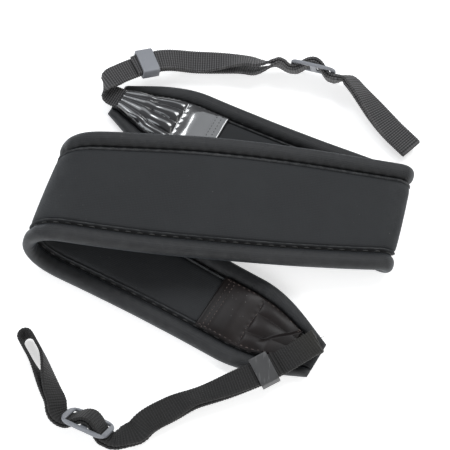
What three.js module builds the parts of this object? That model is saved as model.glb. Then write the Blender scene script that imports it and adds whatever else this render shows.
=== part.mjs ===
// A padded camera neck strap, laid on a table in a loose Z. All sizes are in millimetres, +Z is up.
// The pad is drawn flat and then folded: u runs along its middle from the near tip, v across it
// towards the front edge, and n off its middle surface towards the neck side.
import * as THREE from 'three';

// The pad: a foam band with a sewn roll along both edges
const nearTailLength = 117;
const leftFoldLength = 50;
const panelSpan = 128.5;
const rightFoldLength = 15;
const farTailLength = 135.5;
const padWidth = 58.5;
const patchWidth = 42;
const tipWidth = 17;
const tipTaper = 38;
const panelThickness = 4.6;
const panelTipThickness = 3;
const rollWidth = 7.2;
const rollThickness = 5.8;
const rollTipWidth = 2.8;
const rollTipThickness = 3.6;
const seamGap = 0.45;

// How the pad is folded and laid. The left fold is a wide loop and the right one is pinched flat,
// so the front panel comes down to the right by panelDrop.
const panelDrop = 14.4;
const panelArch = 1;
const leftFoldSkew = -14.1;
const rightFoldSkew = -12;
const nearTipHeading = 149;

// The glossy end patches, gathered towards the tip
const patchLength = 52;
const gatherLength = 32;
const patchThickness = 0.9;
const gatherHeight = 1.5;
const gatherCount = 4;
const puffHeight = 1;
const patchSeamInset = 0.6;

// The webbing: sewn in at the tip, out to the camera loop, and back through slider and keeper
const webbingWidth = 10.4;
const webbingThickness = 1.3;
const tongueLength = 15;
const tongueMargin = 3.5;
const layerSpacing = 1.65;
const sagGape = 4.5;
const loopGape = 5.4;
const nearFoldLength = 9;
const farFoldLength = 15;
const nearRun = 122;
const farRun = 127;
const pieceGap = 0.3;
const looseEnd = 2.5;

const keeperLength = 8;
const keeperWall = 0.9;
const keeperPlay = 0.45;

const sliderLength = 21;
const sliderWidth = 15;
const sliderThickness = 1.6;
const sliderEndBar = 2.3;
const sliderMiddleBar = 3;
const sliderCorner = 5;
const sliderBevel = 0.4;
const sliderPlay = 0.4;
const weaveClearance = 0.55;

// Steps along a fold are no longer than this, nor turn by more
const longestStep = 14;
const shortestStep = 0.8;
const padStepTurn = 14;
const webbingStepTurn = 24;
const weaveStep = 2;

const degrees = Math.PI / 180;
const padLength = nearTailLength + leftFoldLength + panelSpan + rightFoldLength + farTailLength;
const panelSlope = Math.asin(panelDrop / panelSpan) / degrees;

// turn bends the strap towards its neck side, about a line turned by skew from straight across it
const padFolds = [
  { part: 'near tail', length: nearTailLength, turn: 0, skew: 0 },
  { part: 'left fold', length: leftFoldLength, turn: 180 + panelSlope, skew: leftFoldSkew },
  { part: 'front panel', length: panelSpan, turn: 0, skew: 0 },
  { part: 'right fold', length: rightFoldLength, turn: 180 - panelSlope, skew: rightFoldSkew },
  { part: 'far tail', length: farTailLength, turn: 0, skew: 0 },
];

// Frames

function frameAt(place, along, up) {
  return {
    s: 0,
    place: place.clone(),
    along: along.clone().normalize(),
    up: up.clone().normalize(),
    side: new THREE.Vector3().crossVectors(up, along).normalize(),
  };
}

// Walks a table of folds from a start frame and returns the frames on the way.
// Eased folds bend most in their middle, as thick foam does.
function walk(start, folds, stepTurn, eased) {
  const frames = [start];
  let frame = start;
  for (const fold of folds) {
    const turn = fold.turn * degrees;
    const skew = (fold.skew || 0) * degrees;
    const steps = Math.max(
      1,
      Math.ceil(Math.abs(fold.turn) / stepTurn),
      Math.ceil(fold.length / longestStep),
    );
    const fine = 6;
    for (let step = 0; step < steps; step++) {
      for (let part = 0; part < fine; part++) {
        const from = (step * fine + part) / (steps * fine);
        const to = (step * fine + part + 1) / (steps * fine);
        const share = eased
          ? (Math.cos(Math.PI * from) - Math.cos(Math.PI * to)) / 2
          : to - from;
        frame = stepOn(frame, fold.length * (to - from), turn * share, skew);
      }
      frames.push(frame);
    }
  }
  return frames;
}

function stepOn(frame, length, turn, skew) {
  const axis = frame.side
    .clone()
    .multiplyScalar(Math.cos(skew))
    .addScaledVector(frame.along, Math.sin(skew))
    .normalize();
  const middle = frame.along.clone().applyAxisAngle(axis, -turn / 2);
  const along = frame.along.clone().applyAxisAngle(axis, -turn);
  const up = frame.up.clone().applyAxisAngle(axis, -turn);
  const next = frameAt(frame.place.clone().addScaledVector(middle, length), along, up);
  next.s = frame.s + length;
  return next;
}

// The frame at distance s, between the two nearest frames of a route
function along(route, s) {
  let index = route.findIndex((frame) => frame.s >= s);
  if (index < 0) index = route.length - 1;
  index = Math.max(1, index);
  const before = route[index - 1];
  const after = route[index];
  const share = (s - before.s) / (after.s - before.s);
  const held = THREE.MathUtils.clamp(share, 0, 1);
  return {
    s,
    place: before.place.clone().lerp(after.place, share),
    along: before.along.clone().lerp(after.along, held).normalize(),
    up: before.up.clone().lerp(after.up, held).normalize(),
    side: before.side.clone().lerp(after.side, held).normalize(),
  };
}

// The pad's folded surface

const startHeading = nearTipHeading * degrees;
const padStart = frameAt(
  new THREE.Vector3(0, 0, rollThickness / 2),
  new THREE.Vector3(Math.cos(startHeading), Math.sin(startHeading), 0),
  new THREE.Vector3(0, 0, 1),
);
const padRoute = walk(padStart, padFolds, padStepTurn, true);
const panelStart = padFolds[0].length + padFolds[1].length;
const panelEnd = panelStart + panelSpan;

// Each half of the pad is ruled by the lines of its own fold
function rulingSkew(u) {
  const share = THREE.MathUtils.smoothstep(u, panelStart, panelEnd);
  return THREE.MathUtils.lerp(leftFoldSkew, rightFoldSkew, share) * degrees;
}

// The front panel arches a little between its folds
function panelRise(u) {
  const share = THREE.MathUtils.clamp((u - panelStart) / panelSpan, 0, 1);
  return Math.sin(Math.PI * share) ** 2 * panelArch;
}

function onPad(u, v, n) {
  const skew = rulingSkew(u);
  const frame = along(padRoute, u - v * Math.tan(skew));
  const point = frame.place
    .clone()
    .addScaledVector(frame.side, v)
    .addScaledVector(frame.along, v * Math.tan(skew))
    .addScaledVector(frame.up, n);
  point.z += panelRise(u);
  return point;
}

// Widths and thicknesses along the pad

function fromTip(u) {
  return Math.min(u, padLength - u);
}

function halfWidth(u) {
  const distance = fromTip(u);
  if (distance < tipTaper) {
    const share = Math.sin((Math.PI / 2) * Math.max(0, distance / tipTaper)) ** 1.1;
    return THREE.MathUtils.lerp(tipWidth, patchWidth, share) / 2;
  }
  const share = (distance - tipTaper) / (padLength / 2 - tipTaper);
  const swell = ((1 - Math.cos(Math.PI * share)) / 2) ** 1.1;
  return THREE.MathUtils.lerp(patchWidth, padWidth, swell) / 2;
}

function towardsTip(u, inBand, atTip) {
  const share = THREE.MathUtils.clamp(fromTip(u) / gatherLength, 0, 1);
  return THREE.MathUtils.lerp(atTip, inBand, Math.sqrt(share));
}

const rollWidthAt = (u) => towardsTip(u, rollWidth, rollTipWidth);
const rollThicknessAt = (u) => towardsTip(u, rollThickness, rollTipThickness);
const panelThicknessAt = (u) => towardsTip(u, panelThickness, panelTipThickness);
const panelHalfWidth = (u) => halfWidth(u) - rollWidthAt(u) - seamGap;

// Solids: a straight extrusion or box, whose every point is then moved to its place

function bent(geometry, place) {
  const position = geometry.attributes.position;
  for (let i = 0; i < position.count; i++) {
    const point = place(position.getX(i), position.getY(i), position.getZ(i));
    position.setXYZ(i, point.x, point.y, point.z);
  }
  geometry.computeVertexNormals();
  return geometry;
}

function outline(points) {
  return new THREE.Shape(points.map(([x, y]) => new THREE.Vector2(x, y)));
}

// Extrudes a section through numbered stations: z is then the station's number
function throughStations(section, stations) {
  const steps = stations.length - 1;
  return new THREE.ExtrudeGeometry(section, { depth: steps, steps, bevelEnabled: false });
}

function named(name, geometry, look) {
  const mesh = new THREE.Mesh(geometry, new THREE.MeshStandardMaterial(look));
  mesh.name = name;
  return mesh;
}

const foamFabric = { color: 0x303236, roughness: 0.85, metalness: 0 };
const rollFabric = { color: 0x2b2d30, roughness: 0.8, metalness: 0 };
const patentVinyl = { color: 0x16171b, roughness: 0.12, metalness: 0 };
const wovenWebbing = { color: 0x2e2e30, roughness: 0.9, metalness: 0 };
const greyPlastic = { color: 0x8a8b90, roughness: 0.4, metalness: 0 };

const padStations = padRoute.map((frame) => frame.s);
const gatherStations = [0.05, 0.13, 0.25, 0.4, 0.6, 0.8, 1].map((share) => share * gatherLength);
const tipStations = [...gatherStations, (gatherLength + patchLength) / 2, patchLength];
const stationsOfPad = [...padStations, ...tipStations, ...tipStations.map((s) => padLength - s)]
  .sort((a, b) => a - b)
  .filter((s, i, all) => i === 0 || s - all[i - 1] > shortestStep);

function padPanel() {
  const section = outline([
    [-1, -0.5], [-0.93, -0.86], [-0.5, -1], [0.5, -1], [0.93, -0.86], [1, -0.5],
    [1, 0.5], [0.93, 0.86], [0.5, 1], [-0.5, 1], [-0.93, 0.86], [-1, 0.5],
  ]);
  const solid = bent(throughStations(section, stationsOfPad), (x, y, z) => {
    const u = stationsOfPad[Math.round(z)];
    return onPad(u, x * panelHalfWidth(u), (y * panelThicknessAt(u)) / 2);
  });
  return named('pad_panel', solid, foamFabric);
}

// A rolled edge: flat towards its seam and round outside
function edgeRoll(name, edge) {
  const section = outline([
    [0, -0.55], [0.14, -0.88], [0.42, -1], [0.74, -0.8], [0.94, -0.42], [1, 0],
    [0.94, 0.42], [0.74, 0.8], [0.42, 1], [0.14, 0.88], [0, 0.55],
  ]);
  const solid = bent(throughStations(section, stationsOfPad), (x, y, z) => {
    const u = stationsOfPad[Math.round(z)];
    // The outline is turned over for the back edge, so that its faces still point out
    const across = halfWidth(u) - (1 - x) * rollWidthAt(u);
    return onPad(u, edge * across, (edge * y * rollThicknessAt(u)) / 2);
  });
  return named(name, solid, rollFabric);
}

// How the webbing leaves the end patch: inset before the tip, shift across it, and turned from
// straight ahead by turn. The patch itself ends patchInset before the tip.
const nearTongue = {
  inset: 0.4 * tongueLength,
  shift: -0.29 * webbingWidth,
  turn: 45,
  patchInset: 0.73 * tongueLength,
};
const farTongue = { inset: 0, shift: 0, turn: 0, patchInset: 0.2 * tongueLength };
const tongueOf = (u) => (u < padLength / 2 ? nearTongue : farTongue);
const tongueLevel = (u) => rollThicknessAt(u) / 2 + pieceGap + webbingThickness / 2;
const tongueMiddle = (u) =>
  tongueOf(u).shift + (fromTip(u) - tongueOf(u).inset) * Math.tan(tongueOf(u).turn * degrees);

function patchBottom(u, v) {
  const base = panelThicknessAt(u) / 2 + pieceGap;
  const tongueHalf = webbingWidth / 2 / Math.cos(tongueOf(u).turn * degrees);
  const overTongue =
    fromTip(u) < tongueOf(u).inset + tongueLength + 2 * tongueMargin &&
    Math.abs(v - tongueMiddle(u)) < tongueHalf + tongueMargin;
  return overTongue ? tongueLevel(u) + webbingThickness / 2 + pieceGap : base;
}

// Radial gathers towards the tip, and one soft puff across the wide end
function patchTop(u, share) {
  const distance = fromTip(u);
  const sides = 1 - share ** 4;
  if (distance < gatherLength) {
    const gather = (1 - Math.cos(Math.PI * gatherCount * (share + 1))) / 2;
    const fade = Math.sin((Math.PI * distance) / gatherLength) ** 0.6;
    return sides * (0.35 + 0.65 * gather) * gatherHeight * fade;
  }
  const across = (distance - gatherLength) / (patchLength - gatherLength);
  return sides * Math.sin(Math.PI * across) * puffHeight;
}

function endPatch(name, atNearTip) {
  const columns = 16;
  const rows = 12;
  const solid = bent(new THREE.BoxGeometry(2, 1, 1, columns, 1, rows), (x, y, z) => {
    const outward = atNearTip ? 0.5 - z : z + 0.5;
    const { patchInset } = atNearTip ? nearTongue : farTongue;
    const distance = THREE.MathUtils.lerp(patchLength, patchInset, outward);
    const u = atNearTip ? distance : padLength - distance;
    const v = x * (panelHalfWidth(u) - patchSeamInset);
    const base = patchBottom(u, v);
    const plain = panelThicknessAt(u) / 2 + pieceGap + patchThickness;
    const top = Math.max(base + patchThickness, plain + patchTop(u, Math.abs(x)));
    return onPad(u, v, y > 0 ? top : base);
  });
  return named(name, solid, patentVinyl);
}

// Webbing

// Frames through given places, with the webbing's side held at each
function reframed(stations) {
  let s = 0;
  return stations.map((station, i) => {
    const before = stations[Math.max(0, i - 1)].place;
    const after = stations[Math.min(stations.length - 1, i + 1)].place;
    if (i > 0) s += station.place.distanceTo(before);
    const ahead = after.clone().sub(before).normalize();
    const up = new THREE.Vector3().crossVectors(ahead, station.side);
    const frame = frameAt(station.place, ahead, up);
    frame.s = s;
    frame.apart = station.apart;
    return frame;
  });
}

// Lays the webbing on from its folded start. Every row turns the heading to the left, and eases
// the height over the table, as a share of the webbing's width, the lean from lying to on edge,
// and how far apart its two layers are.
function laid(start, rows) {
  const stations = [];
  const place = start.place.clone();
  let heading = Math.atan2(start.along.y, start.along.x);
  let before = { height: place.z / webbingWidth, lean: 0, apart: layerSpacing };
  for (const row of rows) {
    const steps = Math.max(2, Math.round(row.length / weaveStep));
    for (let step = 1; step <= steps; step++) {
      const share = THREE.MathUtils.smoothstep(step / steps, 0, 1);
      const ease = (column) => THREE.MathUtils.lerp(before[column], row[column], share);
      heading += (row.turn * degrees) / steps;
      place.x += (Math.cos(heading) * row.length) / steps;
      place.y += (Math.sin(heading) * row.length) / steps;
      place.z = ease('height') * webbingWidth;
      const lean = ease('lean') * degrees;
      const right = new THREE.Vector3(Math.sin(heading), -Math.cos(heading), 0);
      const side = right.multiplyScalar(Math.cos(lean)).setZ(Math.sin(lean));
      stations.push({ place: place.clone(), side, apart: ease('apart') });
    }
    before = row;
  }
  return stations;
}

function middleOf(rows, part) {
  const index = rows.findIndex((row) => row.part === part);
  return rows.slice(0, index).reduce((sum, row) => sum + row.length, rows[index].length / 2);
}

// How far the first layer stands off the slider's middle plane
const overMiddleBar = sliderThickness / 2 + weaveClearance + webbingThickness / 2;
const underEndBar = -overMiddleBar - layerSpacing;
const weave = [
  { at: -0.9, offset: 0 },
  { at: -0.54, offset: underEndBar },
  { at: -0.43, offset: underEndBar },
  { at: 0, offset: overMiddleBar },
  { at: 0.43, offset: underEndBar },
  { at: 0.54, offset: underEndBar },
  { at: 0.9, offset: 0 },
];

function weaveOffset(distance) {
  const at = distance / sliderLength;
  const next = weave.findIndex((row) => row.at > at);
  if (next <= 0) return 0;
  const before = weave[next - 1];
  const share = (at - before.at) / (weave[next].at - before.at);
  const eased = (1 - Math.cos(Math.PI * share)) / 2;
  return THREE.MathUtils.lerp(before.offset, weave[next].offset, eased);
}

const webbingSection = outline([
  [-0.5, -0.2], [-0.465, -0.5], [0.465, -0.5], [0.5, -0.2],
  [0.5, 0.2], [0.465, 0.5], [-0.465, 0.5], [-0.5, 0.2],
]);

function webbingSolid(name, frames) {
  const solid = bent(throughStations(webbingSection, frames), (x, y, z) => {
    const frame = frames[Math.round(z)];
    return frame.place
      .clone()
      .addScaledVector(frame.side, x * webbingWidth)
      .addScaledVector(frame.up, y * webbingThickness);
  });
  return named(name, solid, wovenWebbing);
}

// One end of the strap: its webbing, keeper and slider
function strapEnd(end, tipDistance, fold, rows) {
  const tongue = [1, 0.66, 0.33, 0].map((share) => {
    const { inset, turn } = tongueOf(tipDistance);
    const u = Math.abs(tipDistance - inset - share * tongueLength * Math.cos(turn * degrees));
    return onPad(u, tongueMiddle(u), tongueLevel(u));
  });
  const outward = tongue[3].clone().sub(tongue[0]).setZ(0);
  const start = frameAt(tongue[3], outward, new THREE.Vector3(0, 0, 1));
  const folded = walk(start, [{ length: pieceGap, turn: 0 }, fold], webbingStepTurn, true);
  const lead = [...tongue.slice(0, 3).map((place) => ({ place, side: start.side })), ...folded];
  const route = reframed([...lead, ...laid(folded[folded.length - 1], rows)]);
  const rowsStart = route[lead.length - 1].s;
  const keeperAt = rowsStart + middleOf(rows, 'keeper');
  const sliderAt = rowsStart + middleOf(rows, 'slider');

  const first = route.filter((frame, i) =>
    i < lead.length || i === route.length - 1 || i % 2 === 0 ||
    Math.abs(frame.s - sliderAt) < sliderLength);
  const out = reframed(first.map((frame) => ({
    place: frame.place.clone().addScaledVector(frame.up, -weaveOffset(frame.s - sliderAt)),
    side: frame.side,
    apart: frame.apart,
    routeAt: frame.s,
  })));
  const layered = out.map((frame, i) => ({ ...frame, routeAt: first[i].s }));
  const last = layered[layered.length - 1];
  const eye = [45, 90, 135].map((angle) => ({
    place: last.place
      .clone()
      .addScaledVector(last.up, (last.apart / 2) * (Math.cos(angle * degrees) - 1))
      .addScaledVector(last.along, (last.apart / 2) * Math.sin(angle * degrees)),
    side: last.side,
  }));
  const back = layered
    .filter((frame) => frame.routeAt > keeperAt - keeperLength / 2 - looseEnd)
    .reverse()
    .map((frame) => ({
      place: frame.place.clone().addScaledVector(frame.up, -frame.apart),
      side: frame.side,
    }));
  const webbing = webbingSolid(`webbing_${end}`, reframed([...layered, ...eye, ...back]));
  const keeper = keeperOn(`keeper_${end}`, along(route, keeperAt));
  const slider = sliderOn(`slider_${end}`, along(route, sliderAt));
  return [webbing, keeper, slider];
}

// A piece drawn flat in x and y with its thickness in z, put on the webbing's frame
function placed(solid, frame, offset, x, y, z) {
  const turn = new THREE.Matrix4().makeBasis(x, y, z);
  const place = frame.place.clone().addScaledVector(frame.up, offset);
  return solid.applyMatrix4(turn).translate(place.x, place.y, place.z);
}

function box(width, height, cut) {
  const x = width / 2;
  const y = height / 2;
  return [
    [-x + cut, -y], [x - cut, -y], [x, -y + cut], [x, y - cut],
    [x - cut, y], [-x + cut, y], [-x, y - cut], [-x, -y + cut],
  ];
}

function keeperOn(name, frame) {
  const width = webbingWidth + 2 * keeperPlay;
  const height = layerSpacing + webbingThickness + 2 * keeperPlay;
  const ring = outline(box(width + 2 * keeperWall, height + 2 * keeperWall, 0.7));
  ring.holes.push(new THREE.Path(outline(box(width, height, 0.3)).getPoints()));
  const solid = new THREE.ExtrudeGeometry(ring, { depth: keeperLength, bevelEnabled: false });
  solid.translate(0, 0, -keeperLength / 2);
  placed(solid, frame, -layerSpacing / 2, frame.side, frame.up, frame.along);
  return named(name, solid, greyPlastic);
}

function sliderOn(name, frame) {
  const plate = new THREE.Shape();
  const x = sliderWidth / 2 - sliderBevel;
  const y = sliderLength / 2 - sliderBevel;
  const corner = sliderCorner;
  plate.moveTo(-x + corner, -y);
  plate.lineTo(x - corner, -y);
  plate.absarc(x - corner, -y + corner, corner, -Math.PI / 2, 0, false);
  plate.absarc(x - corner, y - corner, corner, 0, Math.PI / 2, false);
  plate.absarc(-x + corner, y - corner, corner, Math.PI / 2, Math.PI, false);
  plate.absarc(-x + corner, -y + corner, corner, Math.PI, Math.PI * 1.5, false);
  const slotLength = (sliderLength - 2 * sliderEndBar - sliderMiddleBar) / 2;
  const slotWidth = webbingWidth + 2 * sliderPlay;
  for (const way of [-1, 1]) {
    const middle = way * (sliderMiddleBar + slotLength) / 2;
    const slot = box(slotWidth + 2 * sliderBevel, slotLength + 2 * sliderBevel, 0.8);
    plate.holes.push(new THREE.Path(slot.map(([a, b]) => new THREE.Vector2(a, b + middle))));
  }
  const solid = new THREE.ExtrudeGeometry(plate, {
    depth: sliderThickness - 2 * sliderBevel,
    steps: 1,
    curveSegments: 5,
    bevelThickness: sliderBevel,
    bevelSize: sliderBevel,
    bevelSegments: 1,
  });
  solid.translate(0, 0, sliderBevel - sliderThickness / 2);
  placed(solid, frame, 0, frame.side, frame.along, frame.up.clone().negate());
  return named(name, solid, greyPlastic);
}

const nearFold = { length: nearFoldLength, turn: 184, skew: -10 };
const nearRows = [
  { part: 'down beside the pad', length: 0.15 * nearRun, turn: -6, height: 0.87, lean: 0, apart: layerSpacing },
  { part: 'keeper', length: keeperLength, turn: -4, height: 0.77, lean: 0, apart: layerSpacing },
  { part: 'first twist', length: 0.213 * nearRun, turn: -5, height: 0.48, lean: -32, apart: layerSpacing },
  { part: 'second twist', length: 0.143 * nearRun, turn: 8, height: 0.44, lean: 10, apart: layerSpacing },
  { part: 'dip', length: 0.082 * nearRun, turn: 26, height: 0.52, lean: -5, apart: layerSpacing },
  { part: 'up on edge', length: 0.106 * nearRun, turn: -78, height: 0.71, lean: -45, apart: layerSpacing },
  { part: 'slider', length: sliderLength, turn: 0, height: 0.71, lean: -45, apart: layerSpacing },
  { part: 'turn', length: 0.05 * nearRun, turn: -35, height: 0.67, lean: -45, apart: layerSpacing },
  { part: 'loop', length: 0.195 * nearRun, turn: 0, height: 0.58, lean: -85, apart: loopGape },
  { part: 'loop end', length: 0.06 * nearRun, turn: 0, height: 0.58, lean: -85, apart: loopGape },
];
const farFold = { length: farFoldLength, turn: 186, skew: -30 };
const farRows = [
  { part: 'down to the keeper', length: 0.095 * farRun, turn: -9, height: 1.06, lean: 0, apart: layerSpacing },
  { part: 'keeper', length: keeperLength, turn: -6, height: 0.94, lean: 0, apart: layerSpacing },
  { part: 'bend', length: 0.158 * farRun, turn: -20, height: 0.54, lean: -4, apart: layerSpacing },
  { part: 'sag', length: 0.2 * farRun, turn: -12, height: 0.48, lean: 36, apart: sagGape },
  { part: 'up on edge', length: 0.095 * farRun, turn: 41, height: 0.77, lean: 66, apart: layerSpacing },
  { part: 'crest', length: 0.063 * farRun, turn: -43, height: 0.77, lean: 66, apart: layerSpacing },
  { part: 'slider', length: sliderLength, turn: 0, height: 0.77, lean: 66, apart: layerSpacing },
  { part: 'turn', length: 0.063 * farRun, turn: -40, height: 0.67, lean: 40, apart: layerSpacing },
  { part: 'loop', length: 0.263 * farRun, turn: 6, height: 0.35, lean: -8, apart: layerSpacing },
  { part: 'loop end', length: 0.063 * farRun, turn: 0, height: 0.35, lean: -8, apart: layerSpacing },
];

const strap = new THREE.Group();
strap.name = 'camera_neck_strap';
strap.add(padPanel());
strap.add(edgeRoll('edge_roll_front', 1));
strap.add(edgeRoll('edge_roll_back', -1));
strap.add(endPatch('end_patch_near', true));
strap.add(endPatch('end_patch_far', false));
strap.add(...strapEnd('near', 0, nearFold, nearRows));
strap.add(...strapEnd('far', padLength, farFold, farRows));

const bounds = new THREE.Box3().setFromObject(strap, true);
const middle = bounds.getCenter(new THREE.Vector3());
strap.position.set(-middle.x, -middle.y, -bounds.min.z);

export default strap;
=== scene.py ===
import bpy
import math
import numpy as np
from mathutils import Matrix, Vector


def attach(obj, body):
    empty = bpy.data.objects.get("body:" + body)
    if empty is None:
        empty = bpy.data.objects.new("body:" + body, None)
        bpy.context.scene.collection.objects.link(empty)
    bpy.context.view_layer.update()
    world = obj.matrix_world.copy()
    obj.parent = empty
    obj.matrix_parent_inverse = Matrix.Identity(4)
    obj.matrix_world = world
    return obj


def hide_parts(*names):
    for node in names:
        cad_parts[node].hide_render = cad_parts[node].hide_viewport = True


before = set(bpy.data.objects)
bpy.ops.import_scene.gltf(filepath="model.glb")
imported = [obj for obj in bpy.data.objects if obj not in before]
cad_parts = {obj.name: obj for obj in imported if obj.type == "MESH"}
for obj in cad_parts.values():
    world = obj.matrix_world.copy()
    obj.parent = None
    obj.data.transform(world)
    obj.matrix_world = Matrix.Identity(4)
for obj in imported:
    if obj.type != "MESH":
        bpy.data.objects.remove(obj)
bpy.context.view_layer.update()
bpy.ops.object.select_all(action="DESELECT")

MM = 0.001
PUT = np.array([37.6045, -56.7058, 0.1104])  # from the strap's own start to the middle of the part

# Sizes of the pad and how it is folded

near_tail, left_fold, panel_span, right_fold, far_tail = 117, 50, 128.5, 15, 135.5
pad_length = near_tail + left_fold + panel_span + right_fold + far_tail
pad_width, patch_width, tip_width, tip_taper = 58.5, 42, 17, 38
panel_thick, panel_tip_thick = 4.6, 3
roll_width, roll_thick, roll_tip_width, roll_tip_thick, seam_gap = 7.2, 5.8, 2.8, 3.6, 0.45
panel_drop, panel_arch = 14.4, 1
left_skew, right_skew, tip_heading = -14.1, -12, 149
patch_length, gather_length, tongue_length = 52, 32, 15
web_width, web_thick, layer_gap, piece_gap = 10.4, 1.3, 1.65, 0.3
keeper_length, keeper_wall, keeper_play = 8, 0.9, 0.45
slider_length, slider_width, slider_thick = 21, 15, 1.6
slider_end_bar, slider_middle_bar, slider_corner, slider_play, weave_room = 2.3, 3, 5, 0.4, 0.55
sag_gape, loop_gape, loose_end, weave_step = 4.5, 5.4, 2.5, 2
near_run, far_run = 122, 127
stitch_pitch, stitch_length, stitch_thick, rib_pitch, warp_pitch = 5.1, 2.7, 0.62, 1.1, 1.3
keeper_corner, keeper_edge, slider_edge = 0.8, 0.22, 0.5
# across a vinyl end from its tip: full height of the pleats, top of the puff, start of the hem
pleat_top, pleat_close, puff_top, hem_start = 24.5, 7.2, 39.5, 45

DEG, TURN = math.pi / 180, 2 * math.pi
panel_slope = math.asin(panel_drop / panel_span) / DEG
panel_start = near_tail + left_fold
panel_end = panel_start + panel_span
pad_folds = [
    (near_tail, 0, 0),
    (left_fold, 180 + panel_slope, left_skew),
    (panel_span, 0, 0),
    (right_fold, 180 - panel_slope, right_skew),
    (far_tail, 0, 0),
]


def unit(a):
    return a / np.linalg.norm(a)


def lerp(a, b, share):
    return a + (b - a) * share


def ease(x, a, b):
    share = np.clip((np.asarray(x, float) - a) / (b - a), 0, 1)
    return share * share * (3 - 2 * share)


def turned(vector, axis, angle):
    c, s = math.cos(angle), math.sin(angle)
    return vector * c + np.cross(axis, vector) * s + axis * (axis @ vector) * (1 - c)


class Frame:
    """A place on a band, with the ways along, across (side) and out of it (up)."""

    def __init__(self, place, along, up, s=0.0):
        self.place = np.array(place, float)
        self.along = unit(np.array(along, float))
        self.up = unit(np.array(up, float))
        self.side = unit(np.cross(self.up, self.along))
        self.s = s
        self.apart = layer_gap


def step_on(at, length, turn, skew):
    axis = unit(at.side * math.cos(skew) + at.along * math.sin(skew))
    middle = turned(at.along, axis, -turn / 2)
    return Frame(
        at.place + middle * length,
        turned(at.along, axis, -turn),
        turned(at.up, axis, -turn),
        at.s + length,
    )


def walk(start, folds, step_turn, longest, fine):
    """Walks along folds of (length, turn, skew), each bending most in its middle."""
    frames = [start]
    at = start
    for length, turn, skew in folds:
        steps = max(1, math.ceil(abs(turn) / step_turn), math.ceil(length / longest))
        for step in range(steps):
            for part in range(fine):
                a = (step * fine + part) / (steps * fine)
                b = (step * fine + part + 1) / (steps * fine)
                share = (math.cos(math.pi * a) - math.cos(math.pi * b)) / 2
                at = step_on(at, length * (b - a), turn * DEG * share, skew * DEG)
            frames.append(at)
    return frames


# The pad's folded surface: u runs along it, v across it, n out of it towards the neck side

pad_start = Frame(
    (0, 0, roll_thick / 2),
    (math.cos(tip_heading * DEG), math.sin(tip_heading * DEG), 0),
    (0, 0, 1),
)
route = walk(pad_start, pad_folds, 1.2, 0.6, 2)
run_out = 60
route_s = np.array([-run_out] + [f.s for f in route] + [pad_length + run_out])
route_place = np.array(
    [route[0].place - route[0].along * run_out]
    + [f.place for f in route]
    + [route[-1].place + route[-1].along * run_out]
)


def spread(name):
    ways = [getattr(f, name) for f in route]
    return np.array([ways[0]] + ways + [ways[-1]])


route_along, route_up, route_side = spread("along"), spread("up"), spread("side")


def read(table, s):
    return np.stack([np.interp(s, route_s, table[:, i]) for i in range(3)], axis=-1)


def ruling(u):
    return lerp(left_skew, right_skew, ease(u, panel_start, panel_end)) * DEG


def on_pad(u, v, n):
    u, v, n = np.broadcast_arrays(*(np.asarray(x, float) for x in (u, v, n)))
    slant = np.tan(ruling(u))
    s = u - v * slant
    point = (
        read(route_place, s)
        + read(route_side, s) * v[..., None]
        + read(route_along, s) * (v * slant)[..., None]
        + read(route_up, s) * n[..., None]
    )
    share = np.clip((u - panel_start) / panel_span, 0, 1)
    point[..., 2] += np.sin(math.pi * share) ** 2 * panel_arch
    # the front panel isn't quite flat after years of use
    slack = np.sin(math.pi * share) ** 1.5
    point[..., 2] += slack * 0.3 * np.sin(u / 17 + v / 19) * np.cos(u / 29 - v / 13 + 0.7)
    return point


def from_tip(u):
    return np.minimum(u, pad_length - u)


def half_width(u):
    d = from_tip(u)
    tip = lerp(tip_width, patch_width, np.sin(math.pi / 2 * np.clip(d / tip_taper, 0, 1)) ** 1.1)
    share = np.clip((d - tip_taper) / (pad_length / 2 - tip_taper), 0, 1)
    band = lerp(patch_width, pad_width, ((1 - np.cos(math.pi * share)) / 2) ** 1.1)
    return np.where(d < tip_taper, tip, band) / 2


def towards_tip(u, in_band, at_tip):
    return lerp(at_tip, in_band, np.sqrt(np.clip(from_tip(u) / gather_length, 0, 1)))


def roll_width_at(u):
    return towards_tip(u, roll_width, roll_tip_width)


def roll_thick_at(u):
    return towards_tip(u, roll_thick, roll_tip_thick)


def panel_thick_at(u):
    return towards_tip(u, panel_thick, panel_tip_thick)


def panel_half(u):
    return half_width(u) - roll_width_at(u) - seam_gap


def at_folds(u):
    """1 in the middle of the two folds, 0 on the flat lengths."""
    left = np.exp(-(((u - near_tail - left_fold / 2) / 13) ** 2))
    right = np.exp(-(((u - panel_end - right_fold / 2) / 7) ** 2))
    return left + right


def pulled(u):
    """1 where a stitch pulls the seam in, 0 half way to the next one."""
    return (0.5 + 0.5 * np.cos(TURN * u / stitch_pitch)) ** 2


# Meshes


def put_uv(mesh, uv):
    layer = mesh.uv_layers.new(name="UVMap")
    layer.data.foreach_set("uv", np.asarray(uv, np.float32).ravel())


def put_rub_light_and_shade(mesh, rub_light_and_shade):
    layer = mesh.attributes.new("rub_light_and_shade", "FLOAT", "POINT")
    layer.data.foreach_set("value", np.asarray(rub_light_and_shade, np.float32))


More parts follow.
